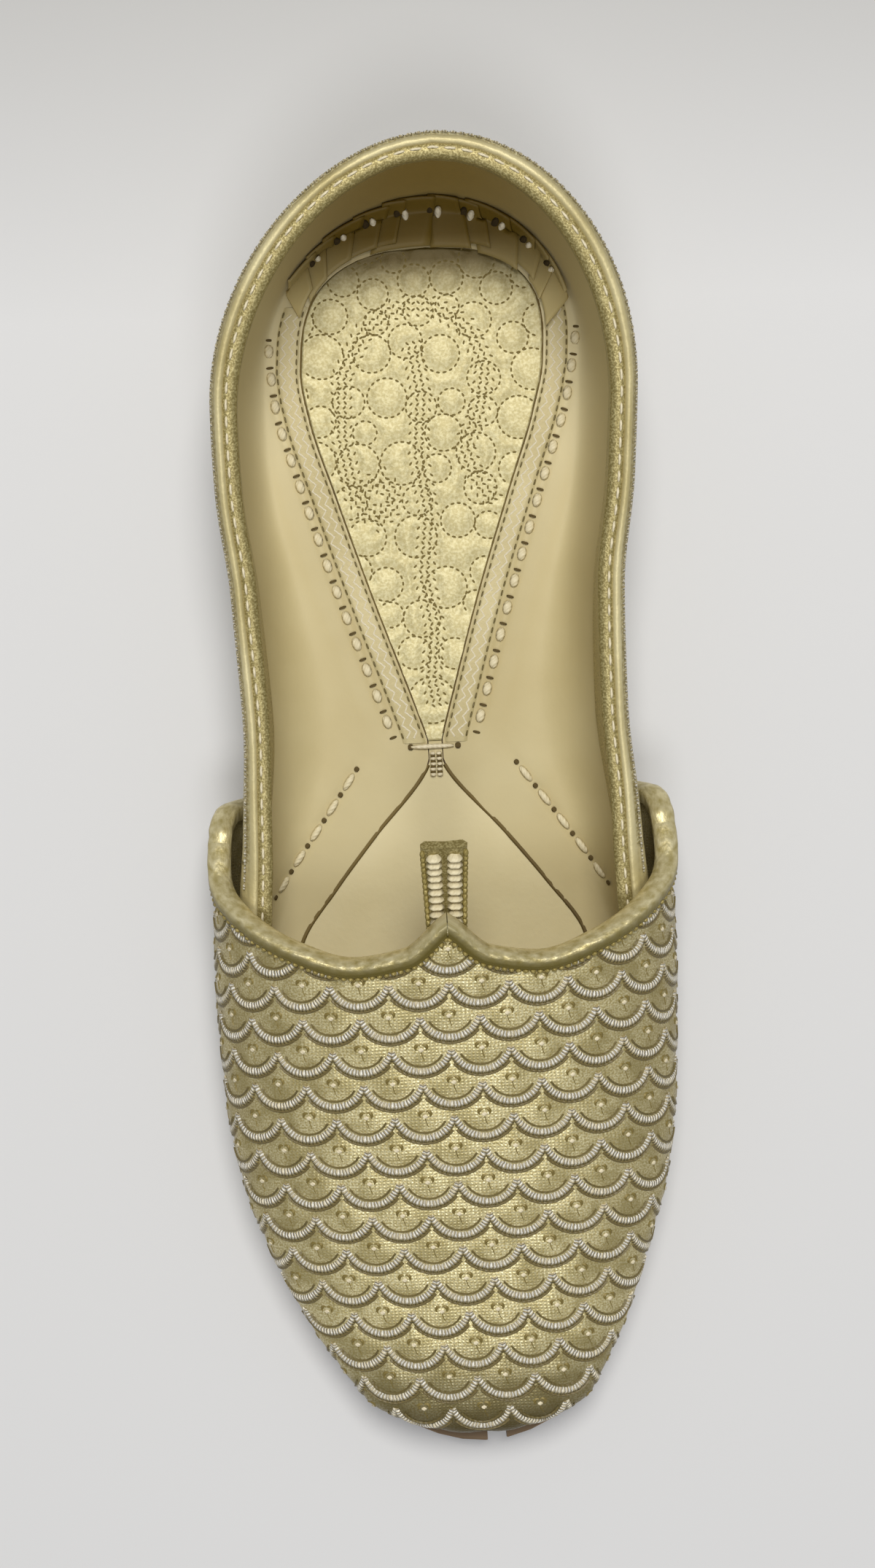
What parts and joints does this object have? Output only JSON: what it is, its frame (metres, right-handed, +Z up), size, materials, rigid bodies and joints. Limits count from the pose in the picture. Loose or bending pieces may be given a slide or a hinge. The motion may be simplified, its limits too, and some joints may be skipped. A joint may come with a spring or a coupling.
{
  "type": "mojari shoe",
  "caption": "Flat slip-on mojari with an embroidered vamp, rolled throat edge, pointed throat tab, bound collar and thin leather sole.",
  "frame": {"origin": "middle of the shoe's box, at the floor", "axes": "+Y runs from the toe to the heel, +Z up, +X across the shoe"},
  "size_m": [0.0893, 0.2506, 0.0536],
  "materials": {
    "sole_leather": "brown vegetable-tanned leather, cut edge",
    "insole_leather": "brown leather board",
    "quilted_sock": "quilted metallic gold leather",
    "lining_leather": "smooth pale gold leather",
    "embroidery": "gold tissue with cream satin stitch",
    "gold_binding": "metallic gold leather",
    "stitched_cord": "looped cream thread"
  },
  "bodies": {
    "root": {"outsole": "sole_leather", "insole": "insole_leather", "heel_sock": "quilted_sock", "fore_sock": "lining_leather", "upper": "lining_leather", "vamp": "embroidery", "collar_binding": "gold_binding", "throat_binding_left": "gold_binding", "throat_binding_right": "gold_binding", "throat_tab": "stitched_cord"}
  },
  "joints": []
}
